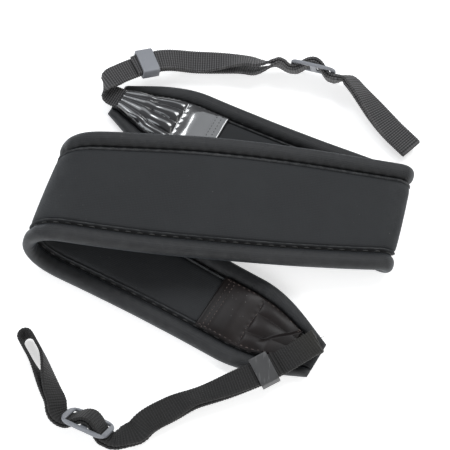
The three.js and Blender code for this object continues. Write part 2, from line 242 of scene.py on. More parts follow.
def tube(name, points, along, around, rub_light_and_shade=None):
    """A closed skin through rings of points, rounded off by a middle point at both ends. along gives
    each ring's place and around each point's place in its ring, in millimetres, for the weave."""
    rings, count = points.shape[:2]
    ends = points[[0, -1]].mean(axis=1)
    verts = np.concatenate([points.reshape(-1, 3), ends]) + PUT
    i, j = np.meshgrid(np.arange(rings - 1), np.arange(count), indexing="ij")
    k = (j + 1) % count
    quads = np.stack([i * count + j, i * count + k, (i + 1) * count + k, (i + 1) * count + j], -1)
    if around.ndim == 1:
        around = np.broadcast_to(around, (rings, count + 1))
    s = np.broadcast_to(np.asarray(along, float)[:, None], (rings, count + 1))
    uv = np.stack([s, around], -1)
    quad_uv = np.stack([uv[i, j], uv[i, j + 1], uv[i + 1, j + 1], uv[i + 1, j]], -2)
    j = np.arange(count)
    first, last = rings * count, rings * count + 1
    near_cap = np.stack([(j + 1) % count, j, np.full(count, first)], -1)
    base = (rings - 1) * count
    far_cap = np.stack([base + j, base + (j + 1) % count, np.full(count, last)], -1)
    near_uv = np.stack([uv[0, j + 1], uv[0, j], uv[0, j]], -2)
    far_uv = np.stack([uv[-1, j], uv[-1, j + 1], uv[-1, j]], -2)
    faces = quads.reshape(-1, 4).tolist() + near_cap.tolist() + far_cap.tolist()
    flat = [quad_uv.reshape(-1, 2), near_uv.reshape(-1, 2), far_uv.reshape(-1, 2)]
    mesh = bpy.data.meshes.new(name)
    mesh.from_pydata((verts * MM).tolist(), [], faces)
    put_uv(mesh, np.concatenate(flat))
    light_shade_and_wear = np.zeros(len(verts))
    if rub_light_and_shade is not None:
        light_shade_and_wear[: rings * count] = rub_light_and_shade.ravel()
    put_rub_light_and_shade(mesh, light_shade_and_wear)
    centre = verts.mean(axis=0)
    v = verts[quads.reshape(-1, 4)] - centre
    volume = np.einsum("ij,ij->i", v[:, 0], np.cross(v[:, 1], v[:, 2])).sum()
    volume += np.einsum("ij,ij->i", v[:, 0], np.cross(v[:, 2], v[:, 3])).sum()
    if volume < 0:
        mesh.flip_normals()
    mesh.shade_smooth()
    piece = bpy.data.objects.new(name, mesh)
    bpy.context.collection.objects.link(piece)
    return piece


def joined(pieces, name):
    bpy.ops.object.select_all(action="DESELECT")
    for piece in pieces:
        piece.select_set(True)
    bpy.context.view_layer.objects.active = pieces[0]
    bpy.ops.object.join()
    pieces[0].name = name
    pieces[0].data.name = name
    pieces[0].select_set(False)
    return pieces[0]


# The foam pad

groove = np.array([
    [0, 0.22], [0.25, 0.30], [0.6, 0.34], [1.0, 0.42], [1.22, 0.72], [1.4, 0.95], [1.58, 1.02],
    [1.75, 0.93], [1.93, 0.62], [2.15, 0.55], [2.5, 0.72], [3.2, 0.88], [4.2, 0.95], [5.5, 0.99],
    [8, 1.02], [14, 1.06], [30, 1.08],
])  # from the seam inwards: how high the face stands, as a share of half the pad's thickness
seam_steps = np.array([0, 0.25, 0.6, 0.9, 1.1, 1.25, 1.4, 1.58, 1.75, 1.93, 2.15, 2.4, 2.8, 3.4, 4.4])


def pad_face(u, inwards, squeeze):
    """How far a face of the pad stands out of its middle surface, inwards from its seam."""
    height = np.interp(inwards / squeeze, groove[:, 0], groove[:, 1])
    near_seam = np.exp(-(((inwards / squeeze - 1.1) / 0.9) ** 2))
    return (height - 0.12 * near_seam * pulled(u)) * panel_thick_at(u) / 2


def foam_pad():
    stations = np.concatenate([[0, 0.2, 0.7], np.linspace(1.4, pad_length - 1.4, 500)])
    stations = np.concatenate([stations, pad_length - np.array([0.7, 0.2, 0])])
    u = stations[:, None]
    half = panel_half(u)
    squeeze = np.clip(half / 12, 0.35, 1)
    inner = np.linspace(0, 1, 27)[None, 1:-1]
    left = seam_steps[None, :] * squeeze
    reach = half - seam_steps[-1] * squeeze
    inwards = np.concatenate([left, half - np.abs(lerp(-reach, reach, inner)), left[:, ::-1]], 1)
    v = np.concatenate([left - half - 0.15, lerp(-reach, reach, inner), (half + 0.15 - left)[:, ::-1]], 1)
    out = pad_face(u, inwards, squeeze)
    fold = at_folds(u - v * np.tan(ruling(u)))
    wrinkle = np.sin(TURN * (u - v * 0.28 + 1.6 * np.sin(v / 6.5)) / 4.3)
    inside = out + 0.16 * fold * wrinkle * ease(inwards, 1.5, 6)
    # the near tail's neck side has a soft hollow
    inside = inside - 0.18 * np.exp(-(((u - 82 + v * 0.7) / 7) ** 2)) * ease(inwards, 2, 8)
    outside = out + 0.05 * np.sin(u / 6.1 + v / 9) * ease(inwards, 2, 8)
    rounded = np.sqrt(np.clip(from_tip(u) / 1.4, 0.02, 1))
    ring_v = np.concatenate([v, v[:, ::-1]], 1)
    ring_n = np.concatenate([-outside, inside[:, ::-1]], 1) * rounded
    points = on_pad(u, ring_v, ring_n)
    across = np.concatenate([v, 2 * half + 4 - v[:, ::-1], v[:, :1] + 4 * half + 8], 1)
    # the raised line beside the seam is painted paler, as rubbing and as a painted highlight on its crest,
    # and the groove is painted dark as painted shade, darker between the stitches
    from_seam = np.concatenate([inwards, inwards], 1) / squeeze
    rub_light_and_shade = np.exp(-(((from_seam - 1.62) / 0.3) ** 2)) * 1.3 + 0.25 * at_folds(u)
    deep = np.exp(-(((from_seam - 0.75) / 0.5) ** 2))
    rub_light_and_shade = rub_light_and_shade - deep * (0.5 + 0.7 * (1 - pulled(u)))
    return tube("foam_pad", points, stations, across, rub_light_and_shade)


def seam_roll(name, edge):
    """A sewn roll along one edge, plump between the stitches and creased inside the folds."""
    count = 30
    stations = np.concatenate([[0, 0.25, 0.8], np.linspace(1.5, pad_length - 1.5, 540)])
    stations = np.concatenate([stations, pad_length - np.array([0.8, 0.25, 0])])
    u = stations[:, None]
    angle = np.linspace(0, TURN, count, endpoint=False)[None, :] - edge * math.pi
    c, s = np.cos(angle), np.sin(angle)
    x = 0.5 + 0.5 * np.sign(c) * np.abs(c) ** 0.84
    y = np.sign(s) * np.abs(s) ** 0.88
    x = np.where(x < 0.12, x - 0.06 * (1 - x / 0.12), x)
    wide, thick = roll_width_at(u), roll_thick_at(u)
    plump = 1 + 0.03 * np.sin(u / 8.3 + edge) + 0.025 * np.sin(u / 3.7 + 2 * edge)
    pinch = 1 - 0.17 * pulled(u) * (1 - x) ** 1.5
    across = half_width(u) - (1 - x) * wide
    slanted = u - edge * across * np.tan(ruling(u))
    crease = at_folds(slanted) * np.sin(TURN * (slanted + 1.3 * x) / 3.6)
    inner_side = np.clip(y, 0, 1)
    thickness = y * thick / 2 * plump * pinch * (1 - 0.09 * crease * inner_side)
    thickness = thickness * np.sqrt(np.clip(from_tip(u) / 1.5, 0.02, 1))
    points = on_pad(u, edge * across, thickness)
    around = np.linspace(0, 1, count + 1)[None, :] * (wide + thick) * 1.5
    rub_light_and_shade = np.clip(x * 1.6 - 0.7, 0, 1) * (0.35 + 0.4 * at_folds(u)) + 0 * y
    # the roll's seam side is painted dark in the groove as painted shade, darker between the stitches
    rub_light_and_shade = rub_light_and_shade - np.exp(-((x / 0.12) ** 2)) * (0.4 + 0.5 * (1 - pulled(u)))
    return tube(name, points, stations, around, rub_light_and_shade)


# The gathered vinyl ends

tongues = {
    "near": {
        "inset": 0.4 * tongue_length,
        "shift": -0.29 * web_width,
        "turn": 45,
        "patch": 0.73 * tongue_length,
    },
    "far": {"inset": 0, "shift": 0, "turn": 0, "patch": 0.2 * tongue_length},
}


def tongue_middle(end, d):
    tongue = tongues[end]
    return tongue["shift"] + (d - tongue["inset"]) * math.tan(tongue["turn"] * DEG)


def tongue_level(u):
    return roll_thick_at(u) / 2 + piece_gap + web_thick / 2


def patch_face(end, d, x):
    """How far the vinyl's outside stands above the pad's middle surface, at d from the tip."""
    u = d if end == "near" else pad_length - d
    half = panel_half(u) - 0.4
    v = x * half
    plain = panel_thick_at(u) / 2 + piece_gap + 0.45
    sides = 1 - np.abs(x) ** 7
    pleats = 4 if end == "far" else 3
    bent = x + 0.05 * np.sin(d / 9 + 3 * x)
    pleat = np.abs(np.sin(pleats * math.pi / 2 * (np.clip(bent, -1, 1) + 1))) ** 0.55
    close = np.sqrt(np.clip(1 - ((d - pleat_top) / pleat_close) ** 2, 0, 1))
    close = np.where(d < pleat_top, 1, close)
    rise = 0.1 + 0.9 * ease(d, tongues[end]["patch"] + 1, 26)
    tall = 2.3 if end == "far" else 1.3
    gathers = sides * close * rise * tall * (0.2 + 0.8 * pleat)
    gathers = gathers * (1 + 0.12 * np.sin(3 * x + 1))
    puff = sides * 1.5 * np.sin(math.pi / 2 * np.clip((d - gather_length) / 8, 0, 1)) ** 1.3
    puff = puff * (1 - np.clip((d - puff_top) / 12.8, 0, 1) ** 1.2) * (1 + 0.04 * np.sin(3 * x + 0.6))
    hem = 0.1 * ease(d, hem_start, hem_start + 2)
    lip = 0.12 * np.exp(-(((d - patch_length + 1) / 0.6) ** 2))
    pull = np.exp(-(((d - gather_length - 0.5) / 0.8) ** 2)) * sides
    pull = 0.03 * np.sin(TURN * v / 3.1) * pull
    ripple = 0.025 * np.sin(v * 0.4 + d * 0.25) * np.sin(d * 0.3 - v * 0.2) * sides
    height = plain + np.where(d < gather_length, gathers, puff + hem + lip) + pull + ripple
    # it is drawn over the webbing's sewn-in end
    tongue = tongues[end]
    spare = web_width / 2 / math.cos(tongue["turn"] * DEG)
    over = 1 - ease(np.abs(v - tongue_middle(end, d)), spare + 0.6, spare + 3.6)
    over = over * (1 - ease(d, tongue["inset"] + tongue_length - 1, tongue["inset"] + tongue_length + 5))
    lifted = tongue_level(u) + web_thick / 2 + piece_gap + 0.4
    height = lerp(height, np.maximum(height, lifted + 0.4 * tall * pleat * (0.3 + 0.7 * rise)), over)
    # and it is turned under along its borders
    return u, v, height - 0.5 * ease(np.abs(x), 0.93, 1)


def end_patch(end):
    wide = np.linspace(-1, 1, 97)
    wide = np.sign(wide) * (1 - (1 - np.abs(wide)) ** 1.15)
    d = np.linspace(patch_length, tongues[end]["patch"], 150)[:, None]
    u, v, top = patch_face(end, d, wide[None, :])
    under = np.linspace(1, -1, 20)[None, :]
    _, under_v, under_top = patch_face(end, d, under)
    bottom = np.maximum(under_top - 0.75, panel_thick_at(u) / 2 + 0.1)
    edge = np.clip(np.minimum(patch_length - d, d - tongues[end]["patch"]) / 0.5, 0, 1)
    thick_share = np.sqrt(1 - (1 - edge) ** 2)
    low = np.maximum(top - 0.75, panel_thick_at(u) / 2 + 0.1)
    top = low + (top - low) * lerp(0.35, 1, thick_share)
    points = np.concatenate([on_pad(u, v, top), on_pad(u, under_v, np.minimum(bottom, under_top - 0.1))], 1)
    flat = panel_half(u)
    around = np.concatenate([wide[None, :] * flat, (2 - under) * flat, 3 * flat], 1)
    rub_light_and_shade = np.concatenate([np.clip((top - low - 0.4) * 0.5, 0, 1), np.zeros_like(under_v)], 1)
    return tube("vinyl_end_" + end, points, d[:, 0], around, rub_light_and_shade)


# Webbing


def reframed(stations):
    frames, s = [], 0.0
    for i, (place, side, apart) in enumerate(stations):
        before = stations[max(0, i - 1)][0]
        after = stations[min(len(stations) - 1, i + 1)][0]
        if i > 0:
            s += np.linalg.norm(place - before)
        ahead = unit(after - before)
        made = Frame(place, ahead, np.cross(ahead, side), s)
        made.apart = apart
        frames.append(made)
    return frames


def laid(start, rows):
    stations = []
    place = start.place.copy()
    heading = math.atan2(start.along[1], start.along[0])
    height0, lean0, apart0 = place[2] / web_width, 0, layer_gap
    for _, length, turn, height, lean, apart in rows:
        steps = max(2, math.floor(length / weave_step + 0.5))
        for step in range(1, steps + 1):
            share = float(ease(step / steps, 0, 1))
            heading += turn * DEG / steps
            place[0] += math.cos(heading) * length / steps
            place[1] += math.sin(heading) * length / steps
            place[2] = lerp(height0, height, share) * web_width
            tilt = lerp(lean0, lean, share) * DEG
            side = np.array([math.sin(heading), -math.cos(heading), 0]) * math.cos(tilt)
            side[2] = math.sin(tilt)
            stations.append((place.copy(), side, lerp(apart0, apart, share)))
        height0, lean0, apart0 = height, lean, apart
    return stations


over_bar = slider_thick / 2 + weave_room + web_thick / 2
under_bar = -over_bar - layer_gap
under_end = [(0.43, under_bar), (0.54, under_bar), (0.9, 0)]
weave = [(-at, low) for at, low in reversed(under_end)] + [(0, over_bar)] + under_end


def weave_offset(distance):
    at = distance / slider_length
    for (a, low), (b, high) in zip(weave, weave[1:]):
        if a <= at < b:
            return lerp(low, high, (1 - math.cos(math.pi * (at - a) / (b - a))) / 2)
    return 0


def middle_of(rows, part):
    total = 0
    for name, length, *_ in rows:
        if name == part:
            return total + length / 2
        total += length


def between(frames, s):
    i = next(k for k, f in enumerate(frames) if f.s >= s)
    a, b = frames[i - 1], frames[i]
    share = (s - a.s) / (b.s - a.s)
    made = Frame(lerp(a.place, b.place, share), lerp(a.along, b.along, share), lerp(a.up, b.up, share))
    made.side = unit(lerp(a.side, b.side, share))
    return made


def smooth_line(frames, step):
    """Places and sides along the webbing at an even step, on one smooth curve through its frames."""
    s = np.array([f.s for f in frames])
    place = np.array([f.place for f in frames])
    side = np.array([f.side for f in frames])
    slope = np.gradient(place, s, axis=0)
    at = np.linspace(0, s[-1], int(s[-1] / step))
    i = np.clip(np.searchsorted(s, at, side="right") - 1, 0, len(s) - 2)
    span = (s[i + 1] - s[i])[:, None]
    t = ((at - s[i])[:, None]) / span
    line = (
        (2 * t**3 - 3 * t**2 + 1) * place[i]
        + (t**3 - 2 * t**2 + t) * span * slope[i]
        + (3 * t**2 - 2 * t**3) * place[i + 1]
        + (t**3 - t**2) * span * slope[i + 1]
    )
    sides = lerp(side[i], side[i + 1], t * t * (3 - 2 * t))
    sides /= np.linalg.norm(sides, axis=1)[:, None]
    return at, line, sides


def thread(name, points, radius):
    """A short loose thread: a thin tube through a few places."""
    points = np.array(points, float)
    ring = np.linspace(0, TURN, 6, endpoint=False)
    rings = []
    for i, at in enumerate(points):
        ahead = unit(points[min(i + 1, len(points) - 1)] - points[max(i - 1, 0)])
        a = unit(np.cross(ahead, [0.3, 0.2, 0.93]))
        b = np.cross(ahead, a)
        slim = radius * (1 - 0.6 * i / len(points))
        rings.append(at + slim * (np.cos(ring)[:, None] * a + np.sin(ring)[:, None] * b))
    return tube(name, np.array(rings), np.arange(len(points)) * 1.0, np.linspace(0, 1.5, 7))


def webbing(end, frames):
    at, line, side = smooth_line(frames, rib_pitch / 4)
    ahead = np.gradient(line, at, axis=0)
    ahead /= np.linalg.norm(ahead, axis=1)[:, None]
    side -= ahead * np.einsum("ij,ij->i", side, ahead)[:, None]
    side /= np.linalg.norm(side, axis=1)[:, None]
    up = np.cross(ahead, side)
    face = np.linspace(-0.47, 0.47, 13)
    x = np.concatenate([face, [0.492, 0.5, 0.5, 0.492], face[::-1], [-0.492, -0.5, -0.5, -0.492]])
    flat = np.full(13, 0.5)
    y = np.concatenate([-flat, [-0.42, -0.18, 0.18, 0.42], flat, [0.42, 0.18, -0.18, -0.42]])
    rib = np.cos(TURN * at / rib_pitch)[:, None]
    # the ribs are lower between the warp threads and stick out at the selvedge
    columns = np.where(np.abs(y) == 0.5, 1, 0) * (0.75 + 0.25 * np.cos(x * web_width * 2.4))
    out = y[None, :] * web_thick + np.sign(y)[None, :] * 0.09 * rib * columns
    wide = x[None, :] * web_width
    wide = wide + np.where(np.abs(x) > 0.49, np.sign(x), 0)[None, :] * 0.12 * rib
    # it cups a little across, and wavers as used webbing does
    out = out + 0.22 * (0.25 - x[None, :] ** 2) * np.sin(at / 13)[:, None]
    points = line[:, None, :] + side[:, None, :] * wide[..., None] + up[:, None, :] * out[..., None]
    count = len(x)
    around = np.concatenate([[0], np.cumsum(np.hypot(np.diff(x) * web_width, np.diff(y) * web_thick))])
    around = np.append(around, around[-1] + 0.5)
    rub_light_and_shade = np.where(np.abs(x) > 0.46, 1.0, 0.15)[None, :] * np.ones((len(at), count))
    return tube("webbing_strap_" + end, points, at, around, rub_light_and_shade)


def strap_end(end, fold, rows):
    tongue = tongues[end]
    tip = 0 if end == "near" else pad_length
    places = []
    for share in (1, 0.66, 0.33, 0):
        u = abs(tip - tongue["inset"] - share * tongue_length * math.cos(tongue["turn"] * DEG))
        places.append(on_pad(u, tongue_middle(end, from_tip(u)), tongue_level(u)))
    outward = places[3] - places[0]
    outward[2] = 0
    start = Frame(places[3], outward, (0, 0, 1))
    folded = walk(start, [(piece_gap, 0, 0), fold], 24, 14, 6)
    lead = [(p, start.side, layer_gap) for p in places[:3]] + [(f.place, f.side, layer_gap) for f in folded]
    line = reframed(lead + laid(folded[-1], rows))
    rows_start = line[len(lead) - 1].s
    keeper_at = rows_start + middle_of(rows, "keeper")
    slider_at = rows_start + middle_of(rows, "slider")
    layered = reframed(
        [(f.place - f.up * weave_offset(f.s - slider_at), f.side, f.apart) for f in line]
    )
    last = layered[-1]
    eye = []
    for angle in (30, 60, 90, 120, 150):
        place = last.place + last.up * (last.apart / 2) * (math.cos(angle * DEG) - 1)
        eye.append((place + last.along * (last.apart / 2) * math.sin(angle * DEG), last.side, 0))
    back = [
        (f.place - f.up * f.apart, f.side, 0)
        for f, own in zip(layered, line)
        if own.s > keeper_at - keeper_length / 2 - loose_end
    ][::-1]
    out = [(f.place, f.side, f.apart) for f in layered]
    return (
        webbing(end, reframed(out + eye + back)),
        between(line, keeper_at),
        between(line, slider_at),
        max(line, key=lambda f: f.place[0]),
    )


near_fold = (9, 184, -10)
near_rows = [
    ("down beside the pad", 0.15 * near_run, -6, 0.87, 0, layer_gap),
    ("keeper", keeper_length, -4, 0.77, 0, layer_gap),
    ("first twist", 0.213 * near_run, -5, 0.48, -32, layer_gap),
    ("second twist", 0.143 * near_run, 8, 0.44, 10, layer_gap),
    ("dip", 0.082 * near_run, 26, 0.52, -5, layer_gap),
    ("up on edge", 0.106 * near_run, -78, 0.71, -45, layer_gap),
    ("slider", slider_length, 0, 0.71, -45, layer_gap),
    ("turn", 0.05 * near_run, -35, 0.67, -45, layer_gap),
    ("loop", 0.195 * near_run, 0, 0.58, -85, loop_gape),
    ("loop end", 0.06 * near_run, 0, 0.58, -85, loop_gape),
]
far_fold = (15, 186, -30)
far_rows = [
    ("down to the keeper", 0.095 * far_run, -9, 1.06, 0, layer_gap),
    ("keeper", keeper_length, -6, 0.94, 0, layer_gap),
    ("bend", 0.158 * far_run, -20, 0.54, -4, layer_gap),
    ("sag", 0.2 * far_run, -12, 0.48, 36, sag_gape),
    ("up on edge", 0.095 * far_run, 41, 0.77, 66, layer_gap),
    ("crest", 0.063 * far_run, -43, 0.77, 66, layer_gap),
    ("slider", slider_length, 0, 0.77, 66, layer_gap),
    ("turn", 0.063 * far_run, -40, 0.67, 40, layer_gap),
    ("loop", 0.263 * far_run, 6, 0.35, -8, layer_gap),
    ("loop end", 0.063 * far_run, 0, 0.35, -8, layer_gap),
]


# Moulded keepers and sliders, modelled flat and then put on the webbing


def pick(test, kind="FACE"):
    """Selects faces or edges of the piece in edit mode by their middle and direction."""
    bpy.ops.mesh.select_mode(type=kind)
    bpy.ops.mesh.select_all(action="DESELECT")
    bpy.ops.object.mode_set(mode="OBJECT")
    mesh = bpy.context.object.data
    if kind == "FACE":
        for face in mesh.polygons:
            face.select = bool(test(face.center, face.normal))
    else:
        for edge in mesh.edges:
            a, b = (mesh.vertices[i].co for i in edge.vertices)
            edge.select = bool(test((a + b) / 2, b - a))
    bpy.ops.object.mode_set(mode="EDIT")


def rounded_edges(piece, width, segments):
    bevel = piece.modifiers.new("soft edges", "BEVEL")
    bevel.width = width * MM
    bevel.segments = segments
    bevel.limit_method = "ANGLE"
    bevel.angle_limit = 35 * DEG
    bpy.ops.object.modifier_apply(modifier=bevel.name)


def put_on(piece, at, offset, x, y, z):
    """Moves a piece drawn flat onto the webbing, and leaves its object at the origin."""
    turn = Matrix([list(x), list(y), list(z)]).transposed().to_4x4()
    place = (at.place + at.up * offset + PUT) * MM
    piece.matrix_world = Matrix.Translation(Vector(place)) @ turn
    bpy.ops.object.select_all(action="DESELECT")
    piece.select_set(True)
    bpy.context.view_layer.objects.active = piece
    bpy.ops.object.transform_apply(location=True, rotation=True, scale=True)
    bpy.ops.object.shade_smooth_by_angle(angle=50 * DEG)
    piece.select_set(False)


def started(name, size):
    bpy.ops.mesh.primitive_cube_add(size=1, location=(0, 0, 0), scale=[x * MM for x in size])
    piece = bpy.context.object
    piece.name = name
    piece.data.name = name
    bpy.ops.object.transform_apply(location=True, rotation=True, scale=True)
    bpy.ops.object.mode_set(mode="EDIT")
    return piece


def keeper(end, at):
    wide = web_width + 2 * keeper_play + 2 * keeper_wall
    tall = layer_gap + web_thick + 2 * keeper_play + 2 * keeper_wall
    piece = started("band_keeper_" + end, (wide, tall, keeper_length))
    pick(lambda at, way: abs(way.z) > 0.9)
    bpy.ops.mesh.inset(thickness=keeper_wall * MM, depth=0)
    bpy.ops.mesh.bridge_edge_loops()
    # a shallow dished face, as a moulding shrinks
    pick(lambda at, way: abs(way.y) > 0.9 and abs(at.y) > 0.49 * tall * MM)
    bpy.ops.mesh.inset(thickness=0.9 * MM, depth=0)
    bpy.ops.transform.resize(value=(1, 0.985, 1))
    # round the four long corners
    pick(lambda at, way: abs(way.z) > 0.99 * way.length and abs(at.x) > 0.49 * wide * MM, "EDGE")
    bpy.ops.mesh.bevel(offset=keeper_corner * MM, segments=4, affect="EDGES")
    bpy.ops.object.mode_set(mode="OBJECT")
    rounded_edges(piece, keeper_edge, 3)
    put_on(piece, at, -layer_gap / 2, at.side, at.up, at.along)
    return piece


def slider(end, at):
    piece = started("tri_bar_slider_" + end, (slider_width, slider_length, slider_thick))
    pick(lambda at, way: abs(way.z) > 0.99 * way.length, "EDGE")
    bpy.ops.mesh.bevel(offset=slider_corner * MM, segments=7, affect="EDGES")
    slot_length = (slider_length - 2 * slider_end_bar - slider_middle_bar) / 2
    slot_width = web_width + 2 * slider_play
    low, high = slider_middle_bar / 2, slider_middle_bar / 2 + slot_length
    cuts = [((x, 0, 0), (1, 0, 0)) for x in (-slot_width / 2, slot_width / 2)]
    cuts += [((0, y, 0), (0, 1, 0)) for y in (-high, -low, low, high)]
    for place, way in cuts:
        bpy.ops.mesh.select_all(action="SELECT")
        bpy.ops.mesh.bisect(plane_co=[x * MM for x in place], plane_no=way)
    for one in (-1, 1):
        middle = one * (low + high) / 2 * MM
        pick(
            lambda at, way: abs(way.z) > 0.9
            and abs(at.x) < 0.4 * slot_width * MM
            and abs(at.y - middle) < 0.4 * slot_length * MM
        )
        bpy.ops.mesh.bridge_edge_loops()
    bpy.ops.object.mode_set(mode="OBJECT")
    rounded_edges(piece, slider_edge, 3)
    put_on(piece, at, 0, at.side, at.along, -at.up)
    return piece


# Stitching: one short thread, modelled once and laid along every seam


def one_stitch():
    bpy.ops.mesh.primitive_uv_sphere_add(segments=8, ring_count=6, radius=0.5)
    made = bpy.context.object
    bpy.ops.object.mode_set(mode="EDIT")
    bpy.ops.mesh.select_all(action="SELECT")
    bpy.ops.transform.rotate(value=math.pi / 2, orient_axis="Y", center_override=(0, 0, 0))
    bpy.ops.object.mode_set(mode="OBJECT")
    verts = np.array([v.co[:] for v in made.data.vertices])
    faces = [list(p.vertices) for p in made.data.polygons]
    bpy.data.objects.remove(made)
    verts[:, 0] = np.sign(verts[:, 0]) * (2 * np.abs(verts[:, 0])) ** 0.75 / 2
    return verts, faces


def stitches(name, rows):
    """rows are (ends a, ends b, ways out, thickness): every stitch runs from its a to its b."""
    shape, faces = one_stitch()
    verts, all_faces, uvs = [], [], []
    for a, b, out, thick in rows:
        for p, q, n in zip(a, b, out):
            ahead = q - p
            length = np.linalg.norm(ahead)
            ahead = ahead / length
            n = unit(n - ahead * (n @ ahead))
            side = np.cross(n, ahead)
            x = shape[:, 0] * length
            dip = -0.9 * thick * (2 * np.abs(shape[:, 0])) ** 3
            start = len(verts) * len(shape)
            verts.append(
                (p + q) / 2
                + ahead * x[:, None]
                + side * (shape[:, 1] * thick)[:, None]
                + n * (shape[:, 2] * thick * 0.8 + dip)[:, None]
            )
            all_faces += [[i + start for i in f] for f in faces]
            uvs.append([(shape[i, 0] * length, shape[i, 1] * 2) for f in faces for i in f])
    mesh = bpy.data.meshes.new(name)
    mesh.from_pydata(((np.concatenate(verts) + PUT) * MM).tolist(), [], all_faces)
    put_uv(mesh, np.array(uvs).reshape(-1, 2))
    mesh.shade_smooth()
    piece = bpy.data.objects.new(name, mesh)
    bpy.context.collection.objects.link(piece)
    return piece


def seam_row(edge, face):
    """The stitches that show in the groove beside a roll, on the neck side (face 1) or outside."""
    at = np.arange(3.2, pad_length - 3, stitch_pitch) + stitch_pitch / 2
    ends = []
    for u in (at - stitch_length / 2, at + stitch_length / 2):
        v = edge * (panel_half(u) - stitch_thick)
        ends.append(on_pad(u, v, face * (0.4 * panel_thick_at(u) / 2 + 0.18)))
    out = on_pad(at, edge * panel_half(at), face * 3.0) - on_pad(at, edge * panel_half(at), face * 1.0)
    return ends[0], ends[1], out, stitch_thick


def patch_row(end, d, x, span, thick=0.42, lift=0.05):
    """Stitches through a vinyl end, along the line of places (d, x), each covering span of its step."""
    d, x = np.broadcast_arrays(np.asarray(d, float), np.asarray(x, float))
    half_d, half_x = np.gradient(d) * span / 2, np.gradient(x) * span / 2
    ends = []
    for way in (-1, 1):
        u, v, height = patch_face(end, d + way * half_d, x + way * half_x)
        ends.append(on_pad(u, v, height + lift))
    u, v, height = patch_face(end, d, x)
    return ends[0], ends[1], on_pad(u, v, height + 1) - on_pad(u, v, height), thick


def patch_rows(end):
    across = np.linspace(-0.94, 0.94, 15)
    cross = np.linspace(-0.94, 0.94, 13)
    close = tongues[end]["patch"] + 1.6
    border = np.arange(close, 51, 2.5)
    rows = [
        patch_row(end, 46.7, across, 0.62),
        patch_row(end, 48.9, across + 0.03, 0.62),
        patch_row(end, gather_length + 0.4 * np.sin(cross * 5), cross, 0.66, 0.4, -0.08),
        patch_row(end, border, 0.925, 0.6),
        patch_row(end, border, -0.925, 0.6),
    ]
    if end == "near":
        rows.append(patch_row(end, close, np.linspace(-0.8, 0.1, 5), 0.6))
    return rows


# Materials


def node(tree, kind, values=None, **settings):
    made = tree.nodes.new(kind)
    for name, value in settings.items():
        setattr(made, name, value)
    for name, value in (values or {}).items():
        if isinstance(value, bpy.types.NodeSocket):
            tree.links.new(value, made.inputs[name])
        else:
            made.inputs[name].default_value = value
    return made


def sums(tree, operation, a, b=None, c=None):
    values = {0: a}
    if b is not None:
        values[1] = b
    if c is not None:
        values[2] = c
    return node(tree, "ShaderNodeMath", values, operation=operation).outputs[0]


def ramp(tree, fac, a, b):
    """0 below a, 1 above b, and even between."""
    made = node(tree, "ShaderNodeMapRange", {"Value": fac, "From Min": a, "From Max": b})
    return made.outputs["Result"]


def noise(tree, vector, scale, detail, rough=0.5, distortion=0.0):
    values = {"Scale": scale, "Detail": detail, "Roughness": rough, "Distortion": distortion}
    return node(tree, "ShaderNodeTexNoise", {"Vector": vector, **values}).outputs[0]


def bump(tree, height, strength, distance, under=None):
    values = {"Height": height, "Strength": strength, "Distance": distance}
    if under is not None:
        values["Normal"] = under
    return node(tree, "ShaderNodeBump", values).outputs[0]


def blend(tree, share, a, b):
    made = node(tree, "ShaderNodeMix", data_type="RGBA")
    for name, value in (("Factor_Float", share), ("A_Color", a), ("B_Color", b)):
        socket = next(s for s in made.inputs if s.identifier == name)
        if isinstance(value, bpy.types.NodeSocket):
            tree.links.new(value, socket)
        else:
            socket.default_value = value
    return next(s for s in made.outputs if s.identifier == "Result_Color")


def layer(tree, colour, mask, share, top):
    """Lays the top colour over another one where the mask is 1, as far as share says."""
    return blend(tree, sums(tree, "MULTIPLY", mask, share), colour, top)


def grey(value, warm=0.0):
    return (value * (1 + warm), value, value * (1 - warm), 1)


def map_axes(tree, vector):
    return node(tree, "ShaderNodeSeparateXYZ", {0: vector}).outputs


def own_map(tree):
    """The piece's own map: millimetres along it and across it."""
    return node(tree, "ShaderNodeUVMap", uv_map="UVMap").outputs[0]


def new_group(name, inputs, outputs):
    tree = bpy.data.node_groups.new(name, "ShaderNodeTree")
    for label, kind, start in inputs:
        socket = tree.interface.new_socket(label, in_out="INPUT", socket_type="NodeSocket" + kind)
        if start is not None:
            socket.default_value = start
    for label, kind in outputs:
        tree.interface.new_socket(label, in_out="OUTPUT", socket_type="NodeSocket" + kind)
    return tree, tree.nodes.new("NodeGroupInput").outputs, tree.nodes.new("NodeGroupOutput").inputs


def knit_group():
    """Fine jersey on foam: rows of loops along and across, in millimetres of the piece's own map."""
    tree, given, give = new_group(
        "fine knit",
        [("Map", "Vector", None), ("Wale", "Float", 0.8), ("Course", "Float", 0.62)],
        [("Height", "Float"), ("Thread", "Float")],
    )
    axes = map_axes(tree, given["Map"])
    across = sums(tree, "DIVIDE", sums(tree, "MULTIPLY", axes[1], TURN), given["Wale"])
    wale = sums(tree, "SINE", across)
    row = sums(tree, "DIVIDE", sums(tree, "MULTIPLY", axes[0], TURN), given["Course"])
    loop = sums(tree, "SINE", sums(tree, "MULTIPLY_ADD", sums(tree, "ABSOLUTE", wale), 2.2, row))
    both = sums(tree, "MULTIPLY_ADD", loop, 0.22, sums(tree, "MULTIPLY_ADD", wale, 0.18, 0.5))
    tree.links.new(both, give["Height"])
    tree.links.new(sums(tree, "MULTIPLY", both, noise(tree, given["Map"], 3.1, 3.0)), give["Thread"])
    return tree


